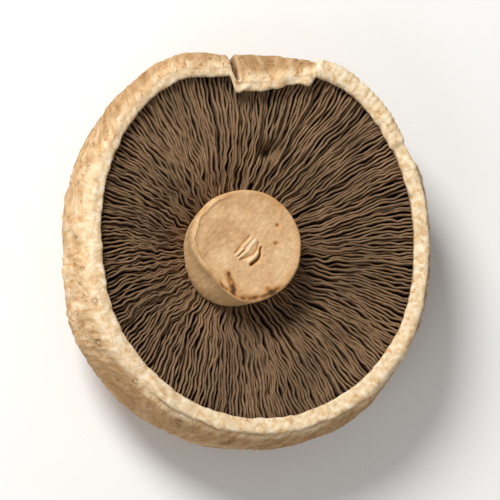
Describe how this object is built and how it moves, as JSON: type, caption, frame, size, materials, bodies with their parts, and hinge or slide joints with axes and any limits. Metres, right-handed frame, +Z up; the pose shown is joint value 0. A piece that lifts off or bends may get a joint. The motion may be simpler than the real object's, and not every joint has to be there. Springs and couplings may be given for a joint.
{
  "type": "portobello mushroom",
  "caption": "Open flat mushroom lying on the crown of its cap, with a rolled margin, brown gills facing up and a short cut stem.",
  "frame": {"origin": "middle of the flat on the crown of the cap, which is the lowest point and what the mushroom rests on", "axes": "+Z up, out of the gills and along the stem towards its cut end; +Y towards the fold in the margin; +X to the right of it, seen from above"},
  "size_m": [0.1064, 0.1119, 0.0343],
  "materials": {
    "cap_skin": "matt cream mushroom skin with tan fibres and flecks",
    "gills": "matt brown gill plates, lighter on their free edges",
    "stem": "matt tan mushroom flesh, finely fibrous"
  },
  "bodies": {
    "root": {"cap": "cap_skin", "gills": "gills", "stem": "stem"}
  },
  "joints": []
}
